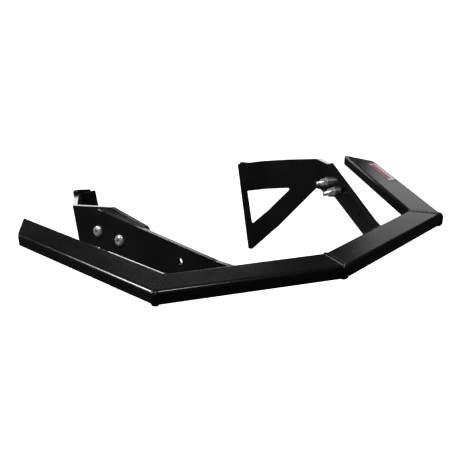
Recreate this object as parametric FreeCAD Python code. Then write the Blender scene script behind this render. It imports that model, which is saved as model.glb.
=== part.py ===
import FreeCAD, Part
import math
import os

Vec = FreeCAD.Vector

# ---------------------------------------------------------------- dimensions, mm and degrees
# heights are measured in the bar's own frame, which has its origin at the outer point of the V
# V shaped bar, made of flat tube
TUBE_WIDTH = 60.0
TUBE_TOP = 21.9
TUBE_LOW = -5.0
TUBE_WALL = 2.5
TUBE_CORNER_OUT = 7.4
TUBE_CORNER_IN = 4.9
NOSE_SWEEP = 14.7
NOSE_LENGTH = 334.5
WING_SPLAY = 20.6
WING_LENGTH = 364.5
WING_CUT = 47.5
CAP_THICKNESS = 3.0

# joint plates in the mitres
JOINT_THICKNESS = 5.0
JOINT_PROUD = 1.5
JOINT_PROUD_LOW = 2.0
JOINT_CORNER = 10.0

# arms: plates on edge from the nose bars back to the brackets, leaning in at the top
ARM_THICKNESS = 10.0
ARM_SPLAY = 22.9
ARM_LEAN = 8.0
ARM_START_X = 177.8
ARM_TOP_FRONT = 19.3
ARM_TOP_REAR = 48.8
ARM_LENGTH_TOP = 330.0
ARM_LENGTH_LOW = 366.5
ARM_LOW_REAR = -28.7
ARM_LOW_FRONT = -36.4
ARM_LOW_START = 64.0
ARM_CORNER_REAR = 13.0
ARM_HOLE_ALONG = 105.0
ARM_HOLE_Z = -0.7
ARM_HOLE_RADIUS = 6.5
ARM_TOE_LENGTH = 24.0
ARM_TOE_TOP = 21.5

# mounting brackets: one folded plate a side, with a triangular window
BRACKET_THICKNESS = 10.0
BRACKET_LEAN = 17.0
BRACKET_FOLD_ALONG = 406.0
BRACKET_FOLD_Z = 36.1
FOLD_ONE = 42.0
FOLD_ONE_RADIUS = 14.0
FOLD_TWO = 33.5
FOLD_TWO_RADIUS = 40.0
FOLD_TWO_ALONG = 181.7
FACETS = 5
WINDOW_CORNER = 3.0

# mounting pads behind the brackets' last leaf; top is the height at the fold and at the free end
PAD_THICKNESS = 12.0
PAD_WIDTH = 58.0
PAD_ALONG = 220.0
PAD_LOW = -52.0
PAD_TOP = {"left": (27.5, 22.0), "right": (8.0, 24.0)}
PAD_MIDDLE = -16.0
PAD_CORNER = 7.0
PAD_HOLE_RADIUS = 4.25
PAD_HOLE_SPACING = 44.0

# M12 fasteners
BOLT_RADIUS = 6.0
BOLT_HOLE_RADIUS = 6.5
BOLT_HEAD_RADIUS = 11.5
BOLT_HEAD_HEIGHT = 6.0
BOLT_PAST_NUT = 11.0
BOLT_ALONG = {"rear": 318.5, "front": 257.5}
BOLT_Z = {"rear": 3.6, "front": -0.2}
WASHER_RADIUS = 12.0
WASHER_THICKNESS = 2.5
NUT_ACROSS_FLATS = 18.0
NUT_HEIGHT = 12.0
NUT_BORE_RADIUS = 6.1

# label on the right wing
LABEL_LENGTH = 130.0
LABEL_WIDTH = 18.5
LABEL_START = 217.0
LABEL_INSET = 7.5
LABEL_THICKNESS = 0.5

SIDES = ("left", "right")


# ---------------------------------------------------------------- frames and helpers
def radians(angle):
    return math.radians(angle)


def frame(origin, x_axis, y_axis, z_axis):
    """Placement that takes local x, y, z to the three given unit vectors."""
    m = FreeCAD.Matrix(
        x_axis.x, y_axis.x, z_axis.x, origin.x,
        x_axis.y, y_axis.y, z_axis.y, origin.y,
        x_axis.z, y_axis.z, z_axis.z, origin.z,
        0, 0, 0, 1,
    )
    return FreeCAD.Placement(m)


def put(shape, placement):
    moved = shape.copy()
    moved.Placement = placement.multiply(moved.Placement)
    return moved


def polygon_face(points):
    return Part.Face(Part.makePolygon([Vec(*p) for p in points] + [Vec(*points[0])]))


def rounded_polygon(points, radii):
    """Face in the xy plane with straight sides and an arc of its own radius at each corner."""
    count = len(points)
    edges = []
    ends = []
    for i in range(count):
        here = Vec(points[i][0], points[i][1], 0)
        before = Vec(points[i - 1][0], points[i - 1][1], 0)
        after = Vec(points[(i + 1) % count][0], points[(i + 1) % count][1], 0)
        back = (before - here).normalize()
        ahead = (after - here).normalize()
        radius = radii[i]
        if radius <= 0:
            ends.append((here, None, here))
            continue
        half = back.getAngle(ahead) / 2
        run = radius / math.tan(half)
        middle_way = (back + ahead).normalize()
        middle = here + middle_way * (radius / math.sin(half) - radius)
        ends.append((here + back * run, middle, here + ahead * run))
    for i in range(count):
        start, middle, end = ends[i]
        if middle is not None:
            edges.append(Part.Arc(start, middle, end).toShape())
        nearest = ends[(i + 1) % count][0]
        edges.append(Part.makeLine(end, nearest))
    return Part.Face(Part.Wire(edges))


def half_space(point, normal):
    """Big block on the side of the plane that the normal points to."""
    normal = Vec(normal).normalize()
    block = Part.makeBox(2400, 2400, 1200, Vec(-1200, -1200, 0))
    turn = FreeCAD.Rotation(Vec(0, 0, 1), normal)
    return put(block, FreeCAD.Placement(point, turn))


def mirror(shape):
    return shape.mirror(Vec(0, 0, 0), Vec(1, 0, 0))


# ---------------------------------------------------------------- plan of the V bar, right half
NOSE_WAY = Vec(math.cos(radians(NOSE_SWEEP)), math.sin(radians(NOSE_SWEEP)), 0)
WING_WAY = Vec(math.sin(radians(WING_SPLAY)), math.cos(radians(WING_SPLAY)), 0)
NOSE_IN = Vec(-NOSE_WAY.y, NOSE_WAY.x, 0)
WING_IN = Vec(-WING_WAY.y, WING_WAY.x, 0)
NOSE_TIP = Vec(0, 0, 0)
CORNER = NOSE_TIP + NOSE_WAY * NOSE_LENGTH
WING_TIP = CORNER + WING_WAY * WING_LENGTH
MITRE_WAY = (NOSE_IN + WING_IN).normalize()
MITRE_NORMAL = Vec(MITRE_WAY.y, -MITRE_WAY.x, 0)
CUT_WAY = WING_IN * math.cos(radians(WING_CUT)) + WING_WAY * math.sin(radians(WING_CUT))
CUT_NORMAL = Vec(-CUT_WAY.y, CUT_WAY.x, 0)
if CUT_NORMAL.dot(WING_WAY) < 0:
    CUT_NORMAL = CUT_NORMAL * -1


def tube_section(inset):
    low, high = inset, TUBE_WIDTH - inset
    bottom, top = TUBE_LOW + inset, TUBE_TOP - inset
    points = [(low, bottom), (high, bottom), (high, top), (low, top)]
    radii = [TUBE_CORNER_OUT, TUBE_CORNER_IN, TUBE_CORNER_IN, TUBE_CORNER_OUT]
    return rounded_polygon(points, [radius - inset for radius in radii])


def tube_blank(start, way, inward, length, solid=False):
    """Flat tube whose outer side runs from start along way, 90 mm longer at both ends."""
    section = tube_section(0)
    if not solid:
        section = section.cut(tube_section(TUBE_WALL))
    body = section.extrude(Vec(0, 0, length + 180))
    return put(body, frame(start - way * 90, inward, Vec(0, 0, 1), way))


def nose_bar():
    bar = tube_blank(NOSE_TIP, NOSE_WAY, NOSE_IN, NOSE_LENGTH)
    half = JOINT_THICKNESS / 2
    bar = bar.cut(half_space(Vec(half, 0, 0), Vec(-1, 0, 0)))
    return bar.cut(half_space(CORNER - MITRE_NORMAL * half, MITRE_NORMAL))


def wing_bar():
    bar = tube_blank(CORNER, WING_WAY, WING_IN, WING_LENGTH)
    half = JOINT_THICKNESS / 2
    bar = bar.cut(half_space(CORNER + MITRE_NORMAL * half, MITRE_NORMAL * -1))
    return bar.cut(half_space(WING_TIP - CUT_NORMAL * CAP_THICKNESS, CUT_NORMAL))


def wing_end_cap():
    cap = tube_blank(CORNER, WING_WAY, WING_IN, WING_LENGTH, solid=True)
    cap = cap.cut(half_space(WING_TIP - CUT_NORMAL * CAP_THICKNESS, CUT_NORMAL * -1))
    return cap.cut(half_space(WING_TIP, CUT_NORMAL))


def joint_plate(corner, across, span):
    """Plate in a mitre: a little proud of the tubes, rounded, lowest at the outside."""
    outer = -JOINT_PROUD_LOW
    inner = span + JOINT_PROUD
    low = TUBE_LOW - JOINT_PROUD_LOW
    top = TUBE_TOP + JOINT_PROUD
    points = [(outer, low), (inner, TUBE_LOW - JOINT_PROUD), (inner, top), (outer, top)]
    face = rounded_polygon(points, [JOINT_CORNER, 4, 4, JOINT_CORNER])
    plate = face.extrude(Vec(0, 0, JOINT_THICKNESS))
    plate.translate(Vec(0, 0, -JOINT_THICKNESS / 2))
    side = across.cross(Vec(0, 0, 1))
    return put(plate, frame(corner, across, Vec(0, 0, 1), side))


# ---------------------------------------------------------------- arms, right side
ARM_WAY = Vec(math.sin(radians(ARM_SPLAY)), math.cos(radians(ARM_SPLAY)), 0)
LEVEL_IN = Vec(-ARM_WAY.y, ARM_WAY.x, 0)
TILT = radians(ARM_LEAN)
ARM_UP = LEVEL_IN * math.sin(TILT) + Vec(0, 0, math.cos(TILT))
ARM_IN = LEVEL_IN * math.cos(TILT) - Vec(0, 0, math.sin(TILT))
NOSE_REAR_Y = TUBE_WIDTH / math.cos(radians(NOSE_SWEEP))
ARM_START = Vec(ARM_START_X, NOSE_REAR_Y + ARM_START_X * math.tan(radians(NOSE_SWEEP)), 0)


def arm_point(along, inward, height):
    """Point on the arm: rearward along it, inward from its outer face, and up its leaning face."""
    return ARM_START + ARM_WAY * along + ARM_IN * inward + ARM_UP * height


def inward_cylinder(along, height, start, length, radius):
    """Round bar square to the arm, from start mm inside its outer face."""
    return Part.makeCylinder(radius, length, arm_point(along, start, height), ARM_IN)


def arm():
    slope = (ARM_TOP_REAR - ARM_TOP_FRONT) / ARM_LENGTH_TOP
    toe_end = ARM_TOE_LENGTH + 5
    points = [
        (-30, TUBE_LOW),
        (3, TUBE_LOW),
        (ARM_LOW_START, ARM_LOW_FRONT),
        (ARM_LENGTH_LOW, ARM_LOW_REAR),
        (ARM_LENGTH_TOP, ARM_TOP_REAR),
        (toe_end, ARM_TOP_FRONT + slope * toe_end),
        (ARM_TOE_LENGTH, ARM_TOE_TOP),
        (-30, ARM_TOE_TOP),
    ]
    radii = [0, 0, 20, ARM_CORNER_REAR, ARM_CORNER_REAR, 3, 2, 0]
    plate = rounded_polygon(points, radii).extrude(Vec(0, 0, ARM_THICKNESS))
    plate = put(plate, frame(arm_point(0, ARM_THICKNESS, 0), ARM_WAY, ARM_UP, ARM_IN * -1))
    # cut flush with the rear face of the nose bar
    plate = plate.cut(half_space(ARM_START, NOSE_IN * -1))
    for name in BOLT_ALONG:
        hole = inward_cylinder(BOLT_ALONG[name], BOLT_Z[name], -1, ARM_THICKNESS + 2, BOLT_HOLE_RADIUS)
        plate = plate.cut(hole)
    hole = inward_cylinder(ARM_HOLE_ALONG, ARM_HOLE_Z, -1, ARM_THICKNESS + 2, ARM_HOLE_RADIUS)
    return plate.cut(hole)


# ---------------------------------------------------------------- brackets, right side
LEAN = radians(BRACKET_LEAN)
LEAF_WAY = ARM_WAY * math.cos(LEAN) - ARM_UP * math.sin(LEAN)
LEAF_UP = ARM_WAY * math.sin(LEAN) + ARM_UP * math.cos(LEAN)
LEAF_MIDDLE = ARM_THICKNESS + BRACKET_THICKNESS / 2
FOLD_TOP = arm_point(BRACKET_FOLD_ALONG, LEAF_MIDDLE, BRACKET_FOLD_Z)
# local x along the first leaf, local y to the middle of the vehicle, local z up the fold lines
BRACKET_FRAME = frame(FOLD_TOP, LEAF_WAY, ARM_IN, LEAF_UP)

# flat pattern of the bracket: (along, up) from the top of the first fold line
BRACKET_OUTLINE = [
    (-196, -57), (-111, -12.5), (0, 0), (95, 9), (181.7, 15), (252, 18),
    (262.5, -219), (251, -221),
    (20, -73), (-8, -84), (-60, -92), (-74, -82), (-130, -79), (-202, -76),
]
BRACKET_RADII = [6, 15, 0, 0, 0, 3, 3, 3, 10, 12, 4, 6, 30, 8]
WINDOW_OUTLINE = [(98, -66.5), (238.5, -59.5), (241, -151.5)]


def flat_pattern():
    plate = rounded_polygon(BRACKET_OUTLINE, BRACKET_RADII)
    window = rounded_polygon(WINDOW_OUTLINE, [WINDOW_CORNER] * 3)
    plate = plate.cut(window).extrude(Vec(0, 0, BRACKET_THICKNESS))
    plate.translate(Vec(0, 0, -BRACKET_THICKNESS / 2))
    return plate


def fold_steps():
    """Folded path as (along, turn) breaks: each fold is a few flat facets."""
    breaks = []
    for along, angle, radius in (
        (0.0, FOLD_ONE, FOLD_ONE_RADIUS),
        (FOLD_TWO_ALONG, FOLD_TWO, FOLD_TWO_RADIUS),
    ):
        arc = radians(angle) * radius
        for i in range(FACETS):
            breaks.append((along - arc / 2 + arc * (i + 0.5) / FACETS, angle / FACETS))
    return breaks


def leaf_path():
    """Start point, direction angle and pattern range of every flat piece of the bracket."""
    breaks = fold_steps()
    pieces = []
    along = -240.0
    point = Vec(-240.0, 0, 0)
    turned = 0.0
    for position, turn in breaks + [(270.0, 0.0)]:
        way = Vec(math.cos(radians(turned)), math.sin(radians(turned)), 0)
        end = point + way * (position - along)
        pieces.append((along, position, point, end, turned))
        point, along = end, position
        turned += turn
    return pieces


def mitre_line(before, after):
    angle = radians((before + after) / 2 + 90)
    return Vec(math.cos(angle), math.sin(angle), 0)


def local_leaf(turned, point, along):
    """Placement of the flat pattern for one flat piece, in the bracket's local frame."""
    way = Vec(math.cos(radians(turned)), math.sin(radians(turned)), 0)
    side = Vec(way.y, -way.x, 0)
    return frame(point - way * along, way, Vec(0, 0, 1), side)


def bracket():
    pattern = flat_pattern()
    pieces = leaf_path()
    solids = []
    for i, (start, stop, point, end, turned) in enumerate(pieces):
        before = pieces[i - 1][4] if i > 0 else turned
        after = pieces[i + 1][4] if i + 1 < len(pieces) else turned
        low = mitre_line(before, turned) * 9
        high = mitre_line(turned, after) * 9
        corners = [point - low, end - high, end + high, point + low]
        block = polygon_face([(c.x, c.y, -320) for c in corners]).extrude(Vec(0, 0, 380))
        solids.append(put(pattern, local_leaf(turned, point, start)).common(block))
    body = solids[0].fuse(solids[1:]).removeSplitter()
    body = put(body, BRACKET_FRAME)
    for name in BOLT_ALONG:
        depth = BRACKET_THICKNESS + 2
        hole = inward_cylinder(BOLT_ALONG[name], BOLT_Z[name], ARM_THICKNESS - 1, depth, BOLT_HOLE_RADIUS)
        body = body.cut(hole)
    return body


def last_leaf_frame():
    """Frame on the rear face of the last leaf: x along the leaf, y up, z out of the rear face."""
    start, stop, point, end, turned = leaf_path()[-1]
    way = Vec(math.cos(radians(turned)), math.sin(radians(turned)), 0)
    rear = Vec(way.y, -way.x, 0)
    origin = point - way * start + rear * (BRACKET_THICKNESS / 2)
    return BRACKET_FRAME.multiply(frame(origin, way, Vec(0, 0, 1), rear))


def pad_hole_point(index):
    height = PAD_MIDDLE + (index - 0.5) * PAD_HOLE_SPACING
    return last_leaf_frame().multVec(Vec(PAD_ALONG, height, PAD_THICKNESS))


def mount_pad(side):
    half = PAD_WIDTH / 2
    top_at_fold, top_at_end = PAD_TOP[side]
    points = [
        (PAD_ALONG - half, PAD_LOW),
        (PAD_ALONG + half, PAD_LOW),
        (PAD_ALONG + half, top_at_end),
        (PAD_ALONG - half, top_at_fold),
    ]
    pad = rounded_polygon(points, [PAD_CORNER] * 4).extrude(Vec(0, 0, PAD_THICKNESS))
    for step in (-0.5, 0.5):
        centre = Vec(PAD_ALONG, PAD_MIDDLE + step * PAD_HOLE_SPACING, -1)
        pad = pad.cut(Part.makeCylinder(PAD_HOLE_RADIUS, PAD_THICKNESS + 2, centre))
    return put(pad, last_leaf_frame())


# ---------------------------------------------------------------- fasteners
STACK = ARM_THICKNESS + BRACKET_THICKNESS


def dome(radius, height):
    """Round head: low dome standing on the xy plane."""
    sphere_radius = (radius * radius + (height - 1) * (height - 1)) / (2 * (height - 1))
    ball = Part.makeSphere(sphere_radius, Vec(0, 0, height - sphere_radius))
    rim = Part.makeCylinder(radius, height, Vec(0, 0, 0))
    return rim.common(ball)


def arm_bolt(name):
    length = STACK + WASHER_THICKNESS + NUT_HEIGHT + BOLT_PAST_NUT
    head = dome(BOLT_HEAD_RADIUS, BOLT_HEAD_HEIGHT)
    shank = Part.makeCylinder(BOLT_RADIUS, length + 1, Vec(0, 0, -length))
    tip = Part.makeCone(BOLT_RADIUS - 1.2, BOLT_RADIUS, 1.2, Vec(0, 0, -length - 1.2))
    bolt = head.fuse([shank, tip]).removeSplitter()
    centre = arm_point(BOLT_ALONG[name], 0, BOLT_Z[name])
    return put(bolt, frame(centre, ARM_WAY, ARM_UP, ARM_IN * -1))


def washer(name):
    disc = inward_cylinder(BOLT_ALONG[name], BOLT_Z[name], STACK, WASHER_THICKNESS, WASHER_RADIUS)
    hole = inward_cylinder(BOLT_ALONG[name], BOLT_Z[name], STACK - 1, WASHER_THICKNESS + 2, BOLT_HOLE_RADIUS)
    return disc.cut(hole)


def lock_nut(name):
    corner = NUT_ACROSS_FLATS / math.sqrt(3)
    start = STACK + WASHER_THICKNESS
    points = []
    for i in range(6):
        angle = radians(60 * i + 15)
        centre = arm_point(BOLT_ALONG[name], start, BOLT_Z[name])
        points.append(centre + ARM_WAY * (corner * math.cos(angle)) + ARM_UP * (corner * math.sin(angle)))
    prism = Part.Face(Part.makePolygon(points + [points[0]])).extrude(ARM_IN * NUT_HEIGHT)
    barrel = inward_cylinder(BOLT_ALONG[name], BOLT_Z[name], start, NUT_HEIGHT, corner)
    cone = Part.makeCone(
        corner + 1.0, corner - 1.4, NUT_HEIGHT, arm_point(BOLT_ALONG[name], start, BOLT_Z[name]), ARM_IN
    )
    bore = inward_cylinder(BOLT_ALONG[name], BOLT_Z[name], start - 1, NUT_HEIGHT + 2, NUT_BORE_RADIUS)
    return prism.common(barrel).common(cone).cut(bore)


# ---------------------------------------------------------------- label on the right wing
def label():
    start = CORNER + WING_WAY * LABEL_START + WING_IN * LABEL_INSET + Vec(0, 0, TUBE_TOP)
    points = [(0, 0), (LABEL_LENGTH, 0), (LABEL_LENGTH, LABEL_WIDTH), (0, LABEL_WIDTH)]
    sheet = rounded_polygon(points, [2] * 4).extrude(Vec(0, 0, LABEL_THICKNESS))
    return put(sheet, frame(start, WING_WAY, WING_IN, Vec(0, 0, 1)))


# ---------------------------------------------------------------- all pieces, in the part's frame
def right_side():
    parts = {
        "nose_bar": nose_bar(),
        "wing_bar": wing_bar(),
        "wing_end_cap": wing_end_cap(),
        "corner_joint_plate": joint_plate(
            CORNER, MITRE_WAY, TUBE_WIDTH / MITRE_WAY.dot(NOSE_IN)
        ),
        "arm": arm(),
        "mount_bracket": bracket(),
        "mount_pad": mount_pad("right"),
    }
    for name in BOLT_ALONG:
        parts["arm_bolt_" + name] = arm_bolt(name)
        parts["washer_" + name] = washer(name)
        parts["lock_nut_" + name] = lock_nut(name)
    return parts


def build():
    parts = {}
    for name, shape in right_side().items():
        parts[name + "_right"] = shape
        parts[name + "_left"] = mirror(shape)
    parts["mount_pad_left"] = mirror(mount_pad("left"))
    parts["nose_joint_plate"] = joint_plate(Vec(0, 0, 0), Vec(0, 1, 0), NOSE_REAR_Y)
    parts["label"] = label()
    # origin midway between the two mounting pads' rear faces
    middle = (pad_hole_point(0) + pad_hole_point(1)) * 0.5
    middle.x = 0
    for shape in parts.values():
        shape.translate(middle * -1)
    return parts, middle


os.makedirs("parts", exist_ok=True)
all_parts, row_origin = build()
for part_name in sorted(all_parts):
    part_shape = all_parts[part_name]
    part_shape.exportStep("parts/" + part_name + ".step")
    box = part_shape.BoundBox
    print(
        part_name, "valid", part_shape.isValid(), "solids", len(part_shape.Solids),
        "volume", round(part_shape.Volume), "box",
        round(box.XMin, 1), round(box.XMax, 1), round(box.YMin, 1), round(box.YMax, 1),
        round(box.ZMin, 1), round(box.ZMax, 1),
    )
print("row origin in the bar's own frame", row_origin)
for hole_index in (0, 1):
    print("pad hole", hole_index, pad_hole_point(hole_index) - row_origin)
normal_line = last_leaf_frame().Rotation.multVec(Vec(0, 0, 1))
print("pad normal", normal_line)
print("arm hole", arm_point(ARM_HOLE_ALONG, ARM_THICKNESS / 2, ARM_HOLE_Z) - row_origin, "axis", ARM_IN)
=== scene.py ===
import math
import random

import bmesh
import bpy
from mathutils import Matrix, Vector, noise


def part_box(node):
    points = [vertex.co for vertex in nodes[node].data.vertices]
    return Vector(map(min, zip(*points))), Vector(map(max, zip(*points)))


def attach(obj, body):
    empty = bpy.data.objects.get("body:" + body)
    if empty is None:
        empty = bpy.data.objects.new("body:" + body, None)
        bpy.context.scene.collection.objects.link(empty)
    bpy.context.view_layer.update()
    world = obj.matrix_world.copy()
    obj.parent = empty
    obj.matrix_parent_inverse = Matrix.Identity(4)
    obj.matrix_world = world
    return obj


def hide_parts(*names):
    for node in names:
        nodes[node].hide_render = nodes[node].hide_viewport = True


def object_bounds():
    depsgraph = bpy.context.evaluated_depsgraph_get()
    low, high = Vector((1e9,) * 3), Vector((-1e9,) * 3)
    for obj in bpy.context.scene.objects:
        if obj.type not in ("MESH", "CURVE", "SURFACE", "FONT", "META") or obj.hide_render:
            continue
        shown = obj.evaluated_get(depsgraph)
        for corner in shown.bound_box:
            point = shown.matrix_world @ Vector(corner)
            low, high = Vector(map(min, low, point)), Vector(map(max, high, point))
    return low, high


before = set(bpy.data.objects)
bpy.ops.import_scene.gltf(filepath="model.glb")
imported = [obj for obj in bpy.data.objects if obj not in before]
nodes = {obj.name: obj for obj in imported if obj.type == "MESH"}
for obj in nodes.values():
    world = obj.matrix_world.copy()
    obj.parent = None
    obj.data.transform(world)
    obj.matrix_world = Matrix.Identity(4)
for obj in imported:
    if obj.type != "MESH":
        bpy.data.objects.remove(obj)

cad_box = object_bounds()
UP = Vector((0, 0, 1))
MM = 0.001

# dimensions of the CAD that the added detail has to follow: lengths in mm, angles given in degrees
WING_SPLAY = math.radians(20.6)
NOSE_SWEEP = math.radians(14.7)
ARM_SPLAY = math.radians(22.9)
ARM_LEAN = math.radians(8)
TUBE_WIDTH = 60.0
TUBE_HEIGHT = 26.9
TUBE_CORNER = 7.4
NOSE_LENGTH = 334.5
ARM_START_X = 177.8
PLATE = 10.0
JOINT_PLATE = 5.0
WASHER = 2.5
NUT_HEIGHT = 12.0
BOLT_PAST_NUT = 11.0
LABEL_SIZE = (130.0, 18.5)

# sizes of the added detail, mm
HEAD_RADIUS = 11.5
HEAD_HEIGHT = 6.0
HEAD_RIM = 1.0
SOCKET_FLATS = 8.0
SOCKET_DEPTH = 3.6
SHANK_RADIUS = 5.95
THREAD_PITCH = 1.75
THREAD_DEPTH = 0.55
BOLT_POINT = 1.1
SEAM_RADIUS = 2.1
SEAM_OFFSET = JOINT_PLATE / 2 + 0.9
ARM_WELD_RADIUS = 4.2
WELD_STEP = 0.8
WELD_RIPPLE = 3.6

SIDES = ("left", "right")
BOLTS = [f"{place}_{side}" for side in SIDES for place in ("front", "rear")]


# ---------------------------------------------------------------- small helpers
def centre_of(node):
    low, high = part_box(node)
    return (low + high) / 2


def basis(axis, origin):
    """Matrix that takes local z to axis and the local origin to origin."""
    z = axis.normalized()
    x = UP.cross(z).normalized()
    y = z.cross(x)
    turn = Matrix((x, y, z)).transposed().to_4x4()
    return Matrix.Translation(origin) @ turn


def mesh_object(name, bm, material, smooth_angle=32):
    """A new piece from a bmesh, smooth except at edges sharper than smooth_angle degrees."""
    bmesh.ops.remove_doubles(bm, verts=bm.verts, dist=1e-7)
    bmesh.ops.recalc_face_normals(bm, faces=bm.faces)
    mesh = bpy.data.meshes.new(name)
    bm.to_mesh(mesh)
    bm.free()
    for face in mesh.polygons:
        face.use_smooth = True
    mesh.set_sharp_from_angle(angle=math.radians(smooth_angle))
    mesh.materials.append(material)
    piece = bpy.data.objects.new(name, mesh)
    bpy.context.scene.collection.objects.link(piece)
    return piece


def stacked_rings(rings, sides):
    """Closed bmesh from rings of (height, radius at an angle); a ring with radius None is a point."""
    bm = bmesh.new()
    previous = None
    for height, radius in rings:
        if radius is None:
            ring = [bm.verts.new((0, 0, height))]
        else:
            ring = []
            for i in range(sides):
                angle = 2 * math.pi * i / sides
                r = radius(angle)
                ring.append(bm.verts.new((r * math.cos(angle), r * math.sin(angle), height)))
        if previous:
            for i in range(sides):
                j = (i + 1) % sides
                if len(previous) == 1:
                    bm.faces.new((previous[0], ring[i], ring[j]))
                elif len(ring) == 1:
                    bm.faces.new((previous[i], ring[0], previous[j]))
                else:
                    bm.faces.new((previous[i], ring[i], ring[j], previous[j]))
        previous = ring
    return bm


def circle(radius):
    return lambda angle: radius


def hexagon(across_flats):
    """Radius of a hexagon's outline at an angle."""
    third = math.pi / 3
    return lambda angle: across_flats / 2 / math.cos((angle % third) - third / 2)


# ---------------------------------------------------------------- materials
class Nodes:
    """Short names for building one material's node tree."""

    def __init__(self, name):
        self.material = bpy.data.materials.new(name)
        self.material.use_nodes = True
        self.tree = self.material.node_tree
        self.shader = self.tree.nodes["Principled BSDF"]
        self.coords = self.add("ShaderNodeTexCoord").outputs["Object"]

    def add(self, kind, **values):
        node = self.tree.nodes.new(kind)
        for name, value in values.items():
            setattr(node, name, value)
        return node

    def link(self, source, target):
        self.tree.links.new(source, target)

    def noise(self, scale, detail=2.0, roughness=0.5, coords=None, stretch=None):
        """Noise texture whose scale is in cells per metre."""
        texture = self.add("ShaderNodeTexNoise")
        texture.inputs["Scale"].default_value = scale
        texture.inputs["Detail"].default_value = detail
        texture.inputs["Roughness"].default_value = roughness
        source = coords or self.coords
        if stretch:
            mapping = self.add("ShaderNodeMapping")
            mapping.inputs["Scale"].default_value = stretch
            self.link(source, mapping.inputs["Vector"])
            source = mapping.outputs["Vector"]
        self.link(source, texture.inputs["Vector"])
        return texture.outputs["Fac"]

    def ramp(self, source, stops):
        """Colour ramp of (position, colour) stops; a single number is a grey."""
        ramp = self.add("ShaderNodeValToRGB")
        elements = ramp.color_ramp.elements
        while len(elements) < len(stops):
            elements.new(0.5)
        for element, (position, colour) in zip(elements, stops):
            grey = isinstance(colour, (int, float))
            element.position = position
            element.color = (colour, colour, colour, 1) if grey else (*colour, 1)
        self.link(source, ramp.inputs["Fac"])
        return ramp.outputs["Color"]

    def bump(self, source, strength, depth, under=None):
        bump = self.add("ShaderNodeBump")
        bump.inputs["Strength"].default_value = strength
        bump.inputs["Distance"].default_value = depth
        self.link(source, bump.inputs["Height"])
        if under:
            self.link(under, bump.inputs["Normal"])
        return bump.outputs["Normal"]

    def mix(self, share, first, second, kind="MIX"):
        mix = self.add("ShaderNodeMix", data_type="RGBA", blend_type=kind)
        for socket, value in (("Factor", share), ("A", first), ("B", second)):
            target = [s for s in mix.inputs if s.name == socket and s.enabled][0]
            if isinstance(value, (int, float)):
                target.default_value = value
            elif isinstance(value, tuple):
                target.default_value = (*value, 1)
            else:
                self.link(value, target)
        return [s for s in mix.outputs if s.enabled][0]

    def math(self, operation, first, second=None):
        node = self.add("ShaderNodeMath", operation=operation)
        for socket, value in zip(node.inputs, (first, second)):
            if value is None:
                continue
            if isinstance(value, (int, float)):
                socket.default_value = value
            else:
                self.link(value, socket)
        return node.outputs[0]


def powder_coat():
    """Satin black powder coat: fine orange peel, a faint cloudiness and a few paler dust specks."""
    n = Nodes("powder_coat_black")
    cloud = n.noise(9, detail=3)
    grain = n.noise(900, detail=2, roughness=0.6)
    peel = n.noise(260, detail=1)
    black = n.ramp(cloud, [(0.3, (0.0035, 0.0035, 0.0037)), (0.75, (0.0065, 0.0065, 0.0070))])
    speck = n.ramp(n.noise(1600, detail=0), [(0.70, 0.0), (0.78, 1.0)])
    colour = n.mix(speck, black, (0.020, 0.020, 0.021))
    n.link(colour, n.shader.inputs["Base Color"])
    gloss = n.ramp(n.mix(0.35, cloud, grain), [(0.3, 0.15), (0.7, 0.25)])
    n.link(gloss, n.shader.inputs["Roughness"])
    n.shader.inputs["Specular IOR Level"].default_value = 0.5
    low = n.bump(peel, 0.25, 0.00025)
    fine = n.bump(grain, 0.35, 0.00012, under=low)
    n.link(fine, n.shader.inputs["Normal"])
    return n.material


def bright_zinc(name, turned=False):
    """Bright zinc plate on steel, with faint clouding, fine scratches and a blue-yellow tint."""
    n = Nodes(name)
    n.shader.inputs["Metallic"].default_value = 0.7
    cloud = n.noise(140, detail=3)
    colour = n.ramp(
        cloud, [(0.3, (0.58, 0.60, 0.64)), (0.55, (0.72, 0.72, 0.72)), (0.8, (0.70, 0.67, 0.58))]
    )
    n.link(colour, n.shader.inputs["Base Color"])
    grain = (1.0, 1.0, 0.08) if turned else (0.2, 1, 1)
    scratch = n.noise(900, detail=4, roughness=0.7, stretch=grain)
    gloss = n.ramp(scratch, [(0.3, 0.09), (0.7, 0.24)])
    n.link(gloss, n.shader.inputs["Roughness"])
    n.link(n.bump(scratch, 0.2, 0.00005), n.shader.inputs["Normal"])
    return n.material


def nylon():
    """Pale nylon of the lock nuts' rings, faintly clouded."""
    n = Nodes("lock_ring_nylon")
    cloud = n.noise(400, detail=2)
    colour = n.ramp(cloud, [(0.3, (0.55, 0.56, 0.55)), (0.7, (0.68, 0.68, 0.66))])
    n.link(colour, n.shader.inputs["Base Color"])
    n.link(n.ramp(cloud, [(0.3, 0.4), (0.7, 0.55)]), n.shader.inputs["Roughness"])
    n.link(n.bump(cloud, 0.2, 0.00008), n.shader.inputs["Normal"])
    return n.material


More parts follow.
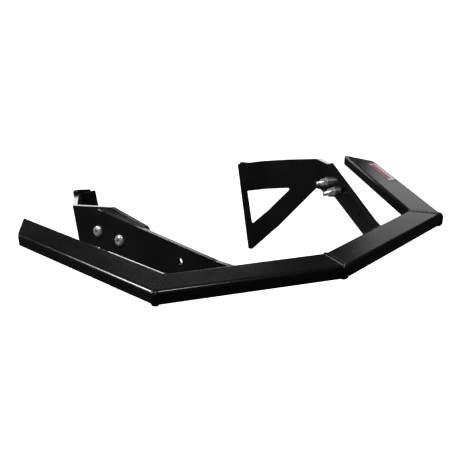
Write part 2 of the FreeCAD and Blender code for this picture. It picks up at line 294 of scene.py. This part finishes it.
def printed_label(along, across, corner):
    """Vinyl label: red field, white stripe on its outer side, white ends and a thin dark border.

    Shares are of the label's length along it and of its width across it, from its given corner.
    """
    n = Nodes("label_vinyl")
    length = LABEL_SIZE[0] * MM
    width = LABEL_SIZE[1] * MM
    place = n.add("ShaderNodeVectorMath", operation="SUBTRACT")
    n.link(n.coords, place.inputs[0])
    place.inputs[1].default_value = corner

    def share(direction, size):
        dot = n.add("ShaderNodeVectorMath", operation="DOT_PRODUCT")
        n.link(place.outputs[0], dot.inputs[0])
        dot.inputs[1].default_value = direction
        return n.math("DIVIDE", dot.outputs["Value"], size)

    def inside(value, low, high):
        above = n.math("GREATER_THAN", value, low)
        below = n.math("LESS_THAN", value, high)
        return n.math("MULTIPLY", above, below)

    u = share(along, length)
    v = share(across, width)
    wear = n.noise(500, detail=3)
    red = n.ramp(wear, [(0.3, (0.30, 0.012, 0.035)), (0.7, (0.42, 0.022, 0.055))])
    white = n.ramp(wear, [(0.3, (0.62, 0.61, 0.58)), (0.7, (0.78, 0.77, 0.75))])
    dark = (0.012, 0.012, 0.013)
    field = n.math("MULTIPLY", inside(u, 0.09, 0.93), inside(v, 0.40, 0.95))
    rim = n.math("MULTIPLY", inside(u, 0.01, 0.99), inside(v, 0.04, 0.96))
    colour = n.mix(field, white, red)
    colour = n.mix(rim, dark, colour)
    n.link(colour, n.shader.inputs["Base Color"])
    n.link(n.ramp(wear, [(0.3, 0.28), (0.7, 0.42)]), n.shader.inputs["Roughness"])
    n.shader.inputs["Coat Weight"].default_value = 0.3
    n.shader.inputs["Coat Roughness"].default_value = 0.15
    n.link(n.bump(wear, 0.1, 0.0001), n.shader.inputs["Normal"])
    return n.material


coat = powder_coat()
zinc = bright_zinc("zinc_bright")
thread_zinc = bright_zinc("zinc_thread", turned=True)
ring_nylon = nylon()


# ---------------------------------------------------------------- CAD nodes: finish and softened edges
def soften_edges(piece, width):
    """Rounds the sharp edges of a node by modifiers, with its own mesh left as it is."""
    weld = piece.modifiers.new("weld", "WELD")
    weld.merge_threshold = 0.00001
    flat = piece.modifiers.new("flat", "DECIMATE")
    flat.decimate_type = "DISSOLVE"
    flat.angle_limit = math.radians(0.5)
    bevel = piece.modifiers.new("bevel", "BEVEL")
    bevel.width = width
    bevel.segments = 3
    bevel.limit_method = "ANGLE"
    bevel.angle_limit = math.radians(35)
    normals = piece.modifiers.new("normals", "WEIGHTED_NORMAL")
    normals.keep_sharp = True
    normals.weight = 60


# radius of a node's softened edges in mm, by the start of its name
EDGE_ROUND = {
    "arm_left": 0.9, "arm_right": 0.9, "mount_bracket": 0.9, "mount_pad": 1.0, "nose_bar": 0.4,
    "wing_bar": 0.4, "wing_end_cap": 0.8, "corner_joint_plate": 1.2, "nose_joint_plate": 1.2,
    "lock_nut": 0.25, "washer": 0.25,
}

for name, node in nodes.items():
    kind = next((k for k in EDGE_ROUND if name.startswith(k)), None)
    metal = name.startswith(("arm_bolt", "washer", "lock_nut"))
    node.data.materials.clear()
    node.data.materials.append(zinc if metal else coat)
    if kind:
        soften_edges(node, EDGE_ROUND[kind] * MM)

wing_way = Vector((math.sin(WING_SPLAY), math.cos(WING_SPLAY), 0))
wing_in = Vector((-wing_way.y, wing_way.x, 0))
label_middle = centre_of("label")
label_corner = label_middle - (wing_way * LABEL_SIZE[0] + wing_in * LABEL_SIZE[1]) * MM / 2
nodes["label"].data.materials.clear()
nodes["label"].data.materials.append(printed_label(wing_way, wing_in, label_corner))


# ---------------------------------------------------------------- bolts and lock nuts' rings
def arm_in(side):
    """Direction from an arm's outer face to the middle of the vehicle, square to the arm."""
    level = math.cos(ARM_LEAN)
    x, y = -math.cos(ARM_SPLAY) * level, math.sin(ARM_SPLAY) * level
    return Vector((x if side == "right" else -x, y, -math.sin(ARM_LEAN)))


def domed_bolt(place):
    """M12 bolt with a domed head, a hexagon socket and a rolled thread at its end."""
    inward = arm_in(place.split("_")[-1])
    seat = centre_of("washer_" + place) - inward * (2 * PLATE + WASHER / 2) * MM
    head = HEAD_RADIUS * MM
    height = HEAD_HEIGHT * MM
    rim = HEAD_RIM * MM
    socket = SOCKET_FLATS * MM
    shank = SHANK_RADIUS * MM
    pitch = THREAD_PITCH * MM
    length = (2 * PLATE + WASHER + NUT_HEIGHT + BOLT_PAST_NUT) * MM
    tip = length + BOLT_POINT * MM
    thread_start = length - (NUT_HEIGHT + BOLT_PAST_NUT) * MM
    full, lead_in, lead_drop = 0.75, 1.6 * MM, 1.4 * MM

    def thread(z):
        """Radius at an angle of the thread at height z, smaller over the lead-in at the tip."""
        cut = min(1.0, (tip + z) / lead_in) * full
        return lambda angle: (
            shank - THREAD_DEPTH * MM * abs(((z / pitch - angle / (2 * math.pi)) % 1) * 2 - 1)
            - (full - cut) * lead_drop
        )

    rings = [(-tip, None)]
    rings_a_turn = 6
    for i in range(int((tip - thread_start) / (pitch / rings_a_turn))):
        z = -tip + i * pitch / rings_a_turn
        rings.append((z, thread(z)))
    rings += [(-thread_start, circle(shank)), (0.0, circle(shank))]
    rings += [(0.0, circle(head - 0.3 * MM)), (0.3 * MM, circle(head)), (rim, circle(head))]
    dome_low, dome_step, dome_rings = 8, 7.2, 8
    dome_top = math.sin(math.radians(dome_low + dome_rings * dome_step))
    for i in range(1, dome_rings + 1):
        turn = math.radians(dome_low + i * dome_step)
        rise = rim + (height - rim) * math.sin(turn) / dome_top
        rings.append((rise, circle(head * math.cos(turn) ** 0.9)))
    rings += [
        (height, circle(socket * 0.62)),
        (height - 0.3 * MM, hexagon(socket)),
        (height - SOCKET_DEPTH * MM, hexagon(socket)),
        (height - (SOCKET_DEPTH + 0.8) * MM, None),
    ]
    bm = stacked_rings(rings, 36)
    bm.transform(basis(inward * -1, seat))
    bolt = mesh_object("domed_bolt_" + place, bm, thread_zinc, 40)
    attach(bolt, "root")
    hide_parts("arm_bolt_" + place)
    return bolt


def nylon_ring(place):
    """Locking ring that stands a little out of the nut's inner end, around the thread."""
    inward = arm_in(place.split("_")[-1])
    start = centre_of("washer_" + place) + inward * (WASHER / 2 + NUT_HEIGHT - 0.6) * MM
    inner, outer = 6.0 * MM, 7.4 * MM
    rings = [
        (0.0, circle(inner)), (0.0, circle(outer)), (1.0 * MM, circle(outer)),
        (1.3 * MM, circle(outer - 0.4 * MM)), (1.3 * MM, circle(inner)), (0.0, circle(inner)),
    ]
    bm = stacked_rings(rings, 36)
    bm.transform(basis(inward, start))
    ring = mesh_object("lock_ring_" + place, bm, ring_nylon)
    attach(ring, "root")
    return ring


# ---------------------------------------------------------------- weld beads
def weld_bead(name, path, size, closed=False, seed=0):
    """Lumpy, rippled bead of radius size in mm, with its middle line on a path of points."""
    rng = random.Random(seed)
    phase = rng.random() * 6
    points = []
    count = len(path)
    for i in range(count if closed else count - 1):
        start, end = path[i], path[(i + 1) % count]
        parts = max(1, round((end - start).length / (WELD_STEP * MM)))
        points += [start.lerp(end, k / parts) for k in range(parts)]
    if not closed:
        points.append(path[-1])
    bm = bmesh.new()
    loops = []
    facets = 10
    total = len(points)
    for i, point in enumerate(points):
        before = points[i - 1] if i > 0 or closed else point
        after = points[(i + 1) % total] if i + 1 < total or closed else point
        way = (after - before).normalized()
        side = way.orthogonal().normalized() if abs(way.z) > 0.9 else UP.cross(way).normalized()
        up = way.cross(side)
        travel = i * WELD_STEP
        wave = math.sin(travel * 2 * math.pi / WELD_RIPPLE + phase)
        ripple = 1 + 0.10 * wave + 0.14 * noise.noise(point * 90)
        if not closed and (i < 3 or i > total - 4):
            ripple *= 0.75
        radius = size * MM * ripple
        loops.append([
            bm.verts.new(point + (side * math.cos(a) + up * math.sin(a)) * radius)
            for a in (2 * math.pi * k / facets for k in range(facets))
        ])
    spans = total if closed else total - 1
    for i in range(spans):
        first, second = loops[i], loops[(i + 1) % total]
        for k in range(facets):
            j = (k + 1) % facets
            bm.faces.new((first[k], first[j], second[j], second[k]))
    if not closed:
        bm.faces.new(loops[0])
        bm.faces.new(loops[-1])
    bead = mesh_object(name, bm, coat, 180)
    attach(bead, "root")
    return bead


def rounded_loop(wide, high, corner, inset=0.9):
    """Points (across, up) of a rounded rectangle drawn in by inset, in mm from its low front corner."""
    points = []
    for cx, cy, first in (
        (wide - corner, high - corner, 0), (corner, high - corner, 90),
        (corner, corner, 180), (wide - corner, corner, 270),
    ):
        for step in range(5):
            angle = math.radians(first + step * 22.5)
            reach = corner - inset
            points.append((cx + reach * math.cos(angle), cy + reach * math.sin(angle)))
    return points


def mirrored(point, side):
    """The point itself on the right side, or its mirror image on the left."""
    return Vector((point.x if side == "right" else -point.x, point.y, point.z))


nose_way = Vector((math.cos(NOSE_SWEEP), math.sin(NOSE_SWEEP), 0))
nose_in = Vector((-nose_way.y, nose_way.x, 0))
mitre_way = (nose_in + wing_in).normalized()
mitre_side = Vector((mitre_way.y, -mitre_way.x, 0))
tube_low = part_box("nose_bar_right")[0].z
apex = Vector((0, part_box("nose_joint_plate")[0].y + 2.0 * MM, tube_low))
corner = apex + nose_way * (NOSE_LENGTH * MM)


def seam(name, origin, across, offset, wide, side="right", seed=0):
    """Bead all round the tube where it meets a joint plate, offset mm beside the plate's middle."""
    path = []
    for u, v in rounded_loop(wide, TUBE_HEIGHT, TUBE_CORNER):
        path.append(mirrored(origin + offset * MM + (across * u + UP * v) * MM, side))
    return weld_bead(name, path, SEAM_RADIUS, closed=True, seed=seed)


for side in SIDES:
    seam(
        "apex_weld_" + side, apex, Vector((0, 1, 0)), Vector((SEAM_OFFSET, 0, 0)),
        TUBE_WIDTH / math.cos(NOSE_SWEEP), side, seed=len(side),
    )
    for name, sense in (("nose", -1), ("wing", 1)):
        seam(
            f"corner_weld_{name}_{side}", corner, mitre_way, mitre_side * (SEAM_OFFSET * sense),
            TUBE_WIDTH / mitre_way.dot(nose_in), side, seed=3 + sense,
        )


def arm_weld(side, face):
    """Fillet bead up the joint of an arm and the nose bar's rear, on the arm's outer or inner face."""
    inward = arm_in("right")
    across = 0 if face == "outer" else PLATE
    way = Vector((math.sin(ARM_SPLAY), math.cos(ARM_SPLAY), 0))
    lean_up = Vector((
        -math.cos(ARM_SPLAY) * math.sin(ARM_LEAN),
        math.sin(ARM_SPLAY) * math.sin(ARM_LEAN),
        math.cos(ARM_LEAN),
    ))
    rear_y = TUBE_WIDTH / math.cos(NOSE_SWEEP) + ARM_START_X * math.tan(NOSE_SWEEP)
    start = Vector((ARM_START_X * MM, apex.y + rear_y * MM, tube_low + 5 * MM))
    start += inward * across * MM
    # from the arm's foot upward, each point slid along the arm to the nose bar's rear face
    path = []
    for height in range(-3, 20):
        point = start + lean_up * height * MM
        shift = (start - point).dot(nose_in) - inward.dot(nose_in) * across * MM
        point = point + way * (shift / way.dot(nose_in))
        path.append(mirrored(point + nose_in * 0.6 * MM, side))
    return weld_bead(f"arm_weld_{face}_{side}", path, ARM_WELD_RADIUS, seed=5)


for side in SIDES:
    for face in ("outer", "inner"):
        arm_weld(side, face)

for place in BOLTS:
    domed_bolt(place)
    nylon_ring(place)


# ---------------------------------------------------------------- floor, light, camera
def area_light(name, place, target, size, power):
    """Rectangular soft light of size in metres and power in watts, out of the camera's sight."""
    data = bpy.data.lights.new(name, "AREA")
    data.shape = "RECTANGLE"
    data.size, data.size_y = size
    data.energy = power
    light = bpy.data.objects.new(name, data)
    light.location = place
    light.rotation_euler = (Vector(target) - Vector(place)).to_track_quat("-Z", "Y").to_euler()
    light.visible_camera = False
    bpy.context.scene.collection.objects.link(light)
    return light


def pale_floor(height):
    """Even white ground, which the object neither reflects nor is lit by."""
    bpy.ops.mesh.primitive_plane_add(size=60, location=(0, 0, height))
    floor = bpy.context.object
    floor.name = "floor"
    n = Nodes("floor_pale")
    n.link(n.ramp(n.noise(2), [(0.3, 0.90), (0.7, 0.92)]), n.shader.inputs["Base Color"])
    n.shader.inputs["Roughness"].default_value = 1.0
    n.shader.inputs["Specular IOR Level"].default_value = 0.0
    n.shader.inputs["Emission Color"].default_value = (1, 1, 1, 1)
    n.shader.inputs["Emission Strength"].default_value = 1.0
    floor.data.materials.append(n.material)
    floor.visible_glossy = False
    floor.visible_diffuse = False
    return floor


def studio_world(dim_strength):
    """White to the camera, dim to everything that reflects it."""
    world = bpy.data.worlds.new("studio")
    world.use_nodes = True
    tree = world.node_tree
    tree.nodes.clear()
    output = tree.nodes.new("ShaderNodeOutputWorld")
    seen = tree.nodes.new("ShaderNodeBackground")
    seen.inputs["Color"].default_value = (1, 1, 1, 1)
    seen.inputs["Strength"].default_value = 1.0
    dim = tree.nodes.new("ShaderNodeBackground")
    dim.inputs["Color"].default_value = (1, 1, 1, 1)
    dim.inputs["Strength"].default_value = dim_strength
    path = tree.nodes.new("ShaderNodeLightPath")
    mix = tree.nodes.new("ShaderNodeMixShader")
    tree.links.new(path.outputs["Is Camera Ray"], mix.inputs["Fac"])
    tree.links.new(dim.outputs["Background"], mix.inputs[1])
    tree.links.new(seen.outputs["Background"], mix.inputs[2])
    tree.links.new(mix.outputs["Shader"], output.inputs["Surface"])
    bpy.context.scene.world = world


def photo_camera():
    """Camera ahead of the bumper, to its left and above it; metres, and angles given in degrees."""
    place = (-0.66990, -1.42584, 0.56341)
    azimuth = math.radians(-30.534)
    elevation = math.radians(23.428)
    roll = math.radians(-0.142)
    data = bpy.data.cameras.new("camera")
    data.sensor_width = 36
    data.lens = 50.08
    data.clip_start = 0.05
    data.clip_end = 100
    camera = bpy.data.objects.new("camera", data)
    camera.matrix_world = (
        Matrix.Translation(place)
        @ Matrix.Rotation(azimuth, 4, "Z")
        @ Matrix.Rotation(math.pi / 2 - elevation, 4, "X")
        @ Matrix.Rotation(roll, 4, "Z")
    )
    bpy.context.scene.collection.objects.link(camera)
    bpy.context.scene.camera = camera


bpy.context.scene.view_settings.view_transform = "Standard"
pale_floor(cad_box[0].z - 0.001)
studio_world(0.03)
area_light("left_softbox", (-1.26, 0.07, 1.16), (-0.35, -0.45, 0.05), (0.6, 0.5), 30)
area_light("overhead_softbox", (-0.30, -0.90, 1.40), (-0.30, -0.62, 0.05), (0.45, 0.35), 7)
area_light("right_panel", (2.20, 0.90, 0.90), (0.25, -0.4, 0.05), (1.0, 0.8), 2.5)
area_light("rear_strip", (0.73, 1.39, 0.66), (-0.25, -0.45, 0.05), (0.7, 0.25), 2.0)
area_light("low_backdrop", (0.55, 1.15, 0.02), (0.1, -0.2, 0.08), (1.9, 0.4), 5)
photo_camera()
